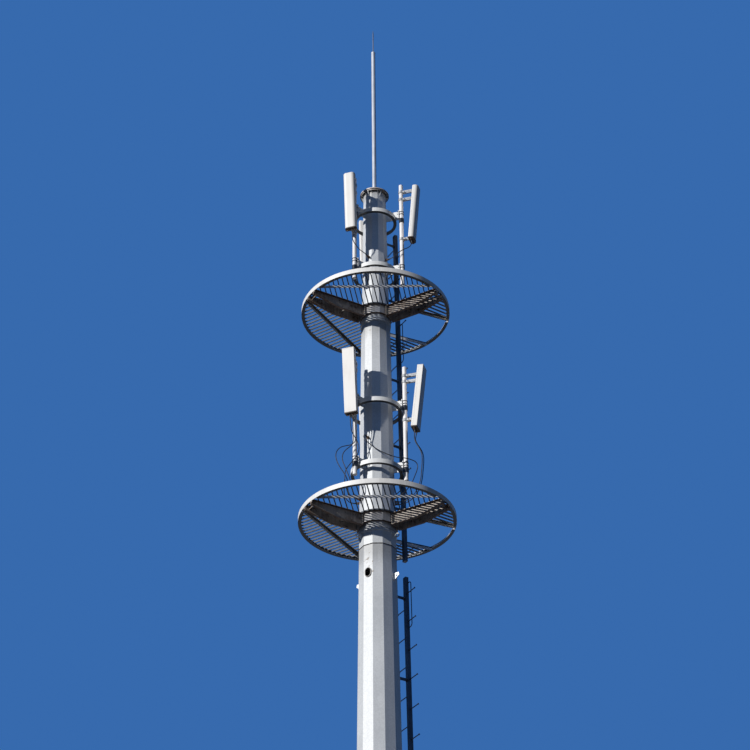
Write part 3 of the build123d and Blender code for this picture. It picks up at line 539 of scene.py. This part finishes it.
radome = finish("radome", radome_skin, {"Metallic": 0, "Specular IOR Level": 0.45}, 0.001)
cap_brown = finish("cap_brown", cap_skin, {"Metallic": 0}, 0.0008)
PANEL_WIDTH = 0.252
PANEL_DEPTH = 0.128
PANEL_OFFSET = 0.293
panel_bearings = {"right": -17, "back": 104, "left": 252}
panel_middles = {("lower", "right"): 23.25, ("lower", "back"): 23.30, ("lower", "left"): 23.38,
                 ("upper", "right"): 28.015, ("upper", "back"): 28.015, ("upper", "left"): 28.015}
panel_tilts = {"lower": 6.5, "upper": 5}
panel_ends = {"lower": 0.730, "upper": 0.710}
panel_edges = {"lower": (0.008, 0.008), "upper": (0.024, 0.070)}


def pipe_place(tier, side):
    """Frame on a pipe's axis beside its panel's middle: X points to the panel."""
    turn = Matrix.Rotation(radians(panel_bearings[side] - mast_bearings[side]), 4, "Z")
    return around(mast_bearings[side], MAST_CIRCLE, panel_middles[tier, side]) @ turn


def panel_place(tier, side):
    """Frame at a panel's middle, leaning with it: X is its front."""
    tilt = Matrix.Rotation(radians(panel_tilts[tier]), 4, "Y")
    return pipe_place(tier, side) @ Matrix.Translation((PANEL_OFFSET, 0, 0)) @ tilt


def rounded(tier, grow, steps=8):
    """Outline of a tier's radome, grown all round."""
    back, front = [radius + grow for radius in panel_edges[tier]]
    deep, wide = PANEL_DEPTH / 2 + grow, PANEL_WIDTH / 2 + grow
    corners = [(deep - front, wide - front, front, 0), (back - deep, wide - back, back, 90),
               (back - deep, back - wide, back, 180), (deep - front, front - wide, front, 270)]
    return [(x + radius * cos(t), y + radius * sin(t)) for x, y, radius, start in corners
            for t in [radians(start + 90 * k / steps) for k in range(steps + 1)]]


caps = bmesh.new()
lids = bmesh.new()
sealant = bmesh.new()
for tier, side in panel_middles:
    dress(f"{tier}_panel_{side}", radome)
    place = panel_place(tier, side)
    end = panel_ends[tier]
    strip(caps, place, rounded(tier, 0.0025), -end - 0.003, -end + 0.018)
    strip(caps, place, rounded(tier, -0.006), -end - 0.008, -end - 0.003)
    if tier == "lower":
        strip(lids, place, rounded(tier, 0.0025), end - 0.014, end + 0.002)
    for y in (-0.1263, 0.1263):
        line = [place @ Vector((-0.030, y, z)) for z in (0.020 - end, end - 0.025)]
        bead(sealant, run(*line, 30), 0.0022, ripple=0.2)
piece("panel_caps", caps, cap_brown)
piece("panel_lids", lids, radome)
piece("panel_sealant", sealant, radome, 60)


# Panel brackets: two-part collars on the pipe, tightened by bolts, with paired
# links to a plate on the panel's back.
bracket_zinc = weathered_and_shaded("bracket_zinc", "BCBDBE", "8E9092", "5B4636", 0.08, 0.42, 0.3)
bracket_rises = {"lower": (0.587, 0.444, -0.483), "upper": (0.650, 0.445, -0.640)}
bolts = bmesh.new()
for tier, side in panel_middles:
    for rise in bracket_rises[tier]:
        back = PANEL_OFFSET - PANEL_DEPTH / 2 + rise * tan(radians(panel_tilts[tier]))
        for out in (0.083, back - 0.028):
            for way in (-1, 1):
                link = pipe_place(tier, side) @ Matrix.Translation((out, way * 0.036, rise))
                fixing(bolts, link @ Matrix.Rotation(-way * pi / 2, 4, "X"), 0.012)
for tier in tiers:
    dress(f"{tier}_panel_brackets", bracket_zinc)
piece("bracket_bolts", bolts, bolt_zinc)


# Panel connectors: four threaded sockets under each panel, with a flange and a
# coupling nut. The brass has tarnished brown.
connector_metal = weathered_and_shaded("connector_metal", "7E644C", "56422F", "3A2A1E", 0.12, 0.40, 0.45)
dress("panel_connectors", connector_metal)
nuts = bmesh.new()
for tier, side in panel_middles:
    for y in (-0.080, -0.028, 0.028, 0.080):
        spot = panel_place(tier, side) @ Matrix.Translation((0, y, -panel_ends[tier]))
        turned(nuts, spot, [(0.019, -0.009), (0.020, -0.011), (0.020, -0.014), (0.019, -0.015)], 20)
        turned(nuts, spot, [(0.0175, -0.020), (0.0190, -0.022), (0.0190, -0.032), (0.0175, -0.034)], 6)
piece("connector_nuts", nuts, connector_metal)


# Cable glands: brass bodies with a hexagon, through the pole wall, that the
# jumper cables enter.
glands = {"lower_right_1": (0, 20.95, 0.045), "lower_right_2": (0, 20.95, -0.045),
          "lower_left_1": (210, 20.95, -0.045), "lower_left_2": (210, 20.95, 0.045),
          "lower_left_3": (180, 20.95, 0), "lower_front": (-30, 20.95, 0),
          "lower_front_start": (240, 22.29, 0),
          "upper_left": (240, 26.86, 0), "upper_right": (-30, 26.85, 0)}


def gland_place(key):
    """Frame on a gland at the flat of the pole: Z points out along it."""
    angle, z, along = glands[key]
    return around(angle, flat(z), z) @ Matrix.Translation((0, along, 0)) @ outward


dress("cable_glands", connector_metal)
nuts = bmesh.new()
for key in glands:
    turned(nuts, gland_place(key), [(0.026, 0.016), (0.0275, 0.018), (0.0275, 0.030), (0.026, 0.032)], 6)
    turned(nuts, gland_place(key), [(0.023, 0.050), (0.0245, 0.052), (0.0245, 0.062), (0.0215, 0.067)], 6)
piece("gland_nuts", nuts, connector_metal)


# Jumper cables: limp black coaxial leads from the panels' connectors down to the
# glands, in the loose bends that they were left in. A tapered boot seals each end.
def jacket_skin(place):
    cloud = grain(place, 0.12)
    scuff = grain(place, 0.01, detail=6)
    return {"Base Color": (cloud * 0.5 + scuff * 0.5).step(0.4, 0.75).mix(shade("17181B"), shade("3A3A3B")),
            "Roughness": scuff * 0.3 + 0.34,
            "Height": scuff * 0.5}


cable_jacket = finish("cable_jacket", jacket_skin, {"Metallic": 0}, 0.0006)
CABLE_RADIUS = 0.009
CONNECTOR_MOUTH = 0.038
GLAND_MOUTH = 0.070
routes = {
    "lower_right_1": (1.99, [
        (0.797, -0.149, 22.487), (0.785, -0.145, 22.378), (0.768, -0.196, 22.31), (0.8, -0.24, 22.17),
        (0.868, -0.258, 22.05), (0.918, -0.262, 21.92), (0.93, -0.266, 21.78), (0.919, -0.27, 21.64),
        (0.906, -0.274, 21.5), (0.893, -0.27, 21.366), (0.865, -0.262, 21.23), (0.815, -0.215, 21.095),
        (0.705, -0.11, 20.985), (0.526, 0.045, 20.95), (0.416, 0.045, 20.95)]),
    "lower_right_2": (1.906, [
        (0.766, -0.252, 22.487), (0.754, -0.249, 22.378), (0.75, -0.256, 22.31), (0.773, -0.274, 22.18),
        (0.838, -0.292, 22.055), (0.888, -0.296, 21.925), (0.898, -0.3, 21.79), (0.889, -0.304, 21.645),
        (0.877, -0.306, 21.505), (0.866, -0.3, 21.37), (0.838, -0.292, 21.235), (0.78, -0.245, 21.1),
        (0.68, -0.15, 20.995), (0.526, -0.045, 20.95), (0.416, -0.045, 20.95)]),
    "lower_left_1": (2.223, [
        (-0.419, -0.637, 22.617), (-0.415, -0.626, 22.508), (-0.42, -0.616, 22.4), (-0.412, -0.594, 22.29),
        (-0.404, -0.556, 22.18), (-0.418, -0.51, 22.085), (-0.48, -0.482, 22.01), (-0.59, -0.474, 21.996),
        (-0.705, -0.476, 21.968), (-0.786, -0.48, 21.88), (-0.812, -0.48, 21.76), (-0.786, -0.476, 21.632),
        (-0.725, -0.474, 21.5), (-0.64, -0.47, 21.362), (-0.576, -0.466, 21.225), (-0.572, -0.43, 21.09),
        (-0.563, -0.34, 20.99), (-0.478, -0.224, 20.95), (-0.383, -0.169, 20.95)]),
    "lower_left_2": (1.983, [
        (-0.469, -0.621, 22.617), (-0.465, -0.61, 22.508), (-0.464, -0.602, 22.405), (-0.462, -0.584, 22.295),
        (-0.458, -0.562, 22.185), (-0.458, -0.545, 22.07), (-0.484, -0.536, 21.968), (-0.57, -0.532, 21.898),
        (-0.65, -0.532, 21.815), (-0.682, -0.532, 21.705), (-0.668, -0.532, 21.595), (-0.625, -0.532, 21.48),
        (-0.58, -0.534, 21.35), (-0.53, -0.524, 21.215), (-0.506, -0.47, 21.095), (-0.48, -0.388, 20.995),
        (-0.433, -0.302, 20.95), (-0.338, -0.247, 20.95)]),
    "lower_left_3": (2.235, [
        (-0.522, -0.604, 22.617), (-0.518, -0.592, 22.508), (-0.512, -0.58, 22.405), (-0.496, -0.548, 22.295),
        (-0.446, -0.516, 22.195), (-0.385, -0.494, 22.085), (-0.35, -0.492, 21.97), (-0.35, -0.496, 21.86),
        (-0.388, -0.5, 21.758), (-0.452, -0.503, 21.658), (-0.522, -0.503, 21.556), (-0.59, -0.502, 21.46),
        (-0.626, -0.504, 21.35), (-0.625, -0.506, 21.23), (-0.64, -0.44, 21.115), (-0.645, -0.32, 21.03),
        (-0.62, -0.17, 20.97), (-0.526, 0, 20.95), (-0.416, 0, 20.95)]),
    "upper_left": (0.709, [
        (-0.475, -0.642, 27.27), (-0.472, -0.633, 27.16), (-0.472, -0.572, 27.06), (-0.408, -0.518, 26.972),
        (-0.318, -0.438, 26.896), (-0.221, -0.383, 26.86), (-0.166, -0.288, 26.86)]),
    "upper_right": (0.723, [
        (0.786, -0.259, 27.27), (0.777, -0.256, 27.16), (0.712, -0.262, 27.085), (0.6, -0.266, 27.036),
        (0.482, -0.26, 26.945), (0.383, -0.221, 26.85), (0.288, -0.166, 26.85)]),
    "lower_front": (2.41, [
        (-0.2, -0.346, 22.29), (-0.225, -0.39, 22.29), (-0.247, -0.427, 22.265), (-0.259, -0.45, 22.221),
        (-0.241, -0.461, 22.166), (-0.188, -0.456, 22.094), (-0.108, -0.436, 22.026), (-0.018, -0.412, 21.964),
        (0.08, -0.396, 21.904), (0.196, -0.374, 21.856), (0.318, -0.346, 21.818), (0.44, -0.3, 21.812),
        (0.56, -0.256, 21.832), (0.672, -0.226, 21.815), (0.77, -0.206, 21.778), (0.812, -0.196, 21.69),
        (0.788, -0.19, 21.57), (0.742, -0.186, 21.45), (0.7, -0.196, 21.325), (0.64, -0.228, 21.2),
        (0.572, -0.284, 21.07), (0.455, -0.263, 20.95), (0.36, -0.208, 20.95)]),
}
connector_spots = {"lower_right_1": ("lower", "right", 0.080), "lower_right_2": ("lower", "right", -0.028),
                   "lower_left_1": ("lower", "left", 0.080), "lower_left_2": ("lower", "left", 0.028),
                   "lower_left_3": ("lower", "left", -0.028), "upper_left": ("upper", "left", 0.028),
                   "upper_right": ("upper", "right", -0.028)}
for key, (length, points) in routes.items():
    curve = bpy.data.curves.new(f"{key}_lead", "CURVE")
    curve.dimensions = "3D"
    curve.bevel_depth = CABLE_RADIUS
    curve.bevel_resolution = 3
    curve.resolution_u = 8
    curve.materials.append(cable_jacket)
    spline = curve.splines.new("NURBS")
    spline.points.add(len(points) - 1)
    for point, place in zip(spline.points, points):
        point.co = (*place, 1)
    spline.order_u = 3
    spline.use_endpoint_u = True
    lead = bpy.data.objects.new(f"{key}_lead", curve)
    bpy.context.scene.collection.objects.link(lead)
    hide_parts(f"{key}_cable")
    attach(lead, "root")
    boots = bmesh.new()
    if key in connector_spots:
        tier, side, y = connector_spots[key]
        start = panel_place(tier, side) @ Matrix.Translation((0, y, -panel_ends[tier] - CONNECTOR_MOUTH))
        start = start @ Matrix.Rotation(pi, 4, "X")
    else:
        start = gland_place(f"{key}_start") @ Matrix.Translation((0, 0, GLAND_MOUTH))
    for mouth in (start, gland_place(key) @ Matrix.Translation((0, 0, GLAND_MOUTH))):
        turned(boots, mouth, [(0.0145, -0.006), (0.0155, 0), (0.0150, 0.012), (0.0125, 0.028),
                              (0.0115, 0.044), (0.0100, 0.050)], 20)
    boot = piece(f"{key}_boots", boots, cable_jacket)


# Ladder sections: a box spine up the back of the pole with round pegs on
# alternate sides, in a dark grey tone. Bolts tie it to the stays.
ladder_steel = weathered_and_shaded("ladder_steel", "555A63", "3A3E46", "44352A", 0.12, 0.42, 0.4)
ladder_runs = ((2.6, 10.8), (11.15, 19.46), (19.81, 27.8))
stays = (3.4, 5.3, 7.2, 9.1, 11.6, 13.5, 15.4, 17.3, 19.0, 20.95, 22.4, 24.0, 26.0, 27.5)


def spine_place(z):
    """Frame on the inner face of the ladder's spine at a height, leaning with the spine."""
    low, high = next(reach for reach in ladder_runs if reach[0] <= z <= reach[1])
    share = (z - low) / (high - low)
    radius = (1 - share) * flat(low) + share * flat(high) + 0.222
    return around(30, radius, z)


for number in (1, 2, 3):
    dress(f"ladder_section_{number}", ladder_steel)
dress("ladder_stays", ladder_steel)
dress("ladder_side_bars", ladder_steel)
bolts = bmesh.new()
cleats = bmesh.new()
for z in stays:
    for way in (-1, 1):
        cleat = [(-0.050, way * 0.0055), (-0.050, way * 0.0105), (-0.0055, way * 0.0105),
                 (-0.0055, way * 0.044), (-0.0005, way * 0.044), (-0.0005, way * 0.0055)]
        strip(cleats, spine_place(z), cleat, -0.028, 0.028)
        side_nut = spine_place(z) @ Matrix.Translation((-0.028, way * 0.0105, 0))
        fixing(bolts, side_nut @ Matrix.Rotation(-way * pi / 2, 4, "X"), 0.012, 0.2)
        spine_nut = spine_place(z) @ Matrix.Translation((-0.0055, way * 0.030, 0))
        fixing(bolts, spine_nut @ Matrix.Rotation(-pi / 2, 4, "Y"), 0.010, 0.2)
piece("ladder_cleats", cleats, ladder_steel)
piece("ladder_bolts", bolts, bolt_zinc)


# Top of the pole: a flange on small gussets, closed by a loose round cap plate
# that is bolted down. Its rim has rusted.
# Cap steel: faces that look down or at the pole are painted near black as shade.
cap_steel = weathered_and_shaded("cap_steel", "E0D8D2", "B5A89E", "6A4E3A", 0.12, 0.50, 0.2, "241C17")
for node in ("top_flange", "cap_plate"):
    dress(node, cap_steel)
dress("top_gussets", galvanised)
bolts = bmesh.new()
for k in range(12):
    fixing(bolts, around(15 + 30 * k, 0.270, 28.715), 0.016)
    fixing(bolts, around(15 + 30 * k, 0.270, 28.665) @ Matrix.Rotation(pi, 4, "X"), 0.016)
piece("cap_bolts", bolts, bolt_zinc)


# Lightning rod: a steel tube in a bolted socket on the cap, with a slim pointed
# tip. It is painted a pale cool grey.
def rod_skin(place):
    cloud = grain(place, 0.3)
    run_down = grain(place, 0.03, (1, 1, 20))
    dull = (cloud * 0.5 + run_down * 0.5).step(0.35, 0.7)
    return {"Base Color": dull.mix(shade("D9DCE3"), shade("B4B9C2")),
            "Roughness": cloud * 0.2 + 0.35,
            "Height": cloud * 0.4}


rod_paint = finish("rod_paint", rod_skin, {"Metallic": 0.2})
dress("rod_socket", cap_steel)
dress("lightning_rod", rod_paint)
dress("rod_tip", bolt_zinc)
welds = bmesh.new()
for radius, z in ((0.047, 28.807), (0.060, 28.737), (0.132, 28.717)):
    bead(welds, [around(360 * k / 40) @ Vector((radius, 0, z)) for k in range(40)], 0.005, closed=True)
bolts = bmesh.new()
for k in range(6):
    fixing(bolts, around(60 * k, 0.098, 28.735), 0.016)
ferrule = [(0.0465, 0), (0.0480, 0.006), (0.0480, 0.034), (0.030, 0.050), (0.0125, 0.056)]
turned(welds, Matrix.Translation((0, 0, 32.95)), ferrule, 28)
piece("rod_welds", welds, rod_paint, 40)
piece("socket_bolts", bolts, bolt_zinc)


# Surroundings: a pale floor that fades into a plain blue backdrop, a low soft sun
# from the front left and a weak sky.
BACKDROP = (0.038, 0.144, 0.42, 1)
ground = bmesh.new()
bmesh.ops.create_circle(ground, cap_ends=True, segments=96, radius=400)
data = bpy.data.meshes.new("floor")
ground.to_mesh(data)
ground.free()
floor = bpy.data.objects.new("floor", data)
floor.location.z = -0.001
floor.visible_diffuse = False
bpy.context.scene.collection.objects.link(floor)
paint = bpy.data.materials.new("floor_paint")
paint.use_nodes = True
tree = paint.node_tree
start = Wire(tree)
far = start.node("ShaderNodeVectorMath", {"operation": "LENGTH"},
                 {0: start.node("ShaderNodeTexCoord", output="Object")}, "Value").step(45, 150)
tree.nodes["Principled BSDF"].inputs["Base Color"].default_value = (0.80, 0.81, 0.83, 1)
tree.nodes["Principled BSDF"].inputs["Roughness"].default_value = 0.9
near = Wire(tree, tree.nodes["Principled BSDF"].outputs[0])
sky = start.node("ShaderNodeEmission", {}, {"Color": BACKDROP, "Strength": 1})
both = start.node("ShaderNodeMixShader", {}, {0: far, 1: near, 2: sky})
tree.links.new(both.socket, tree.nodes["Material Output"].inputs[0])
data.materials.append(paint)

world = bpy.data.worlds.new("studio")
bpy.context.scene.world = world
world.use_nodes = True
tree = world.node_tree
start = Wire(tree)
seen = 0
for ray in ("Is Camera Ray", "Is Glossy Ray", "Is Transmission Ray"):
    seen = seen + start.node("ShaderNodeLightPath", output=ray)
height = start.node("ShaderNodeTexCoord", output="Generated").along(2)
glow = height.step(-0.3, 0.5).mix((0.020, 0.022, 0.026, 1), (0.036, 0.062, 0.108, 1))
colour = seen.step(0, 1).mix(glow, BACKDROP)
tree.links.new(colour.socket, tree.nodes["Background"].inputs["Color"])

lamp = bpy.data.lights.new("sun", "SUN")
lamp.energy = 3.5
lamp.angle = radians(1.0)
lamp.color = (1.0, 0.985, 0.955)
sun = bpy.data.objects.new("sun", lamp)
sun.rotation_euler = Vector((-0.730, -0.591, 0.342)).to_track_quat("Z", "Y").to_euler()
bpy.context.scene.collection.objects.link(sun)


# Camera: low in front of the tower, tilted up at its top.
lens = bpy.data.cameras.new("camera")
lens.sensor_width = 36
lens.lens = 93.36
lens.clip_end = 2000
camera = bpy.data.objects.new("camera", lens)
camera.matrix_world = (Matrix.Translation((-0.022, -33, 1.6)) @ Matrix.Rotation(radians(124.16), 4, "X")
                       @ Matrix.Rotation(-0.0085, 4, "Z"))
bpy.context.scene.collection.objects.link(camera)
bpy.context.scene.camera = camera
bpy.context.scene.view_settings.view_transform = "Standard"
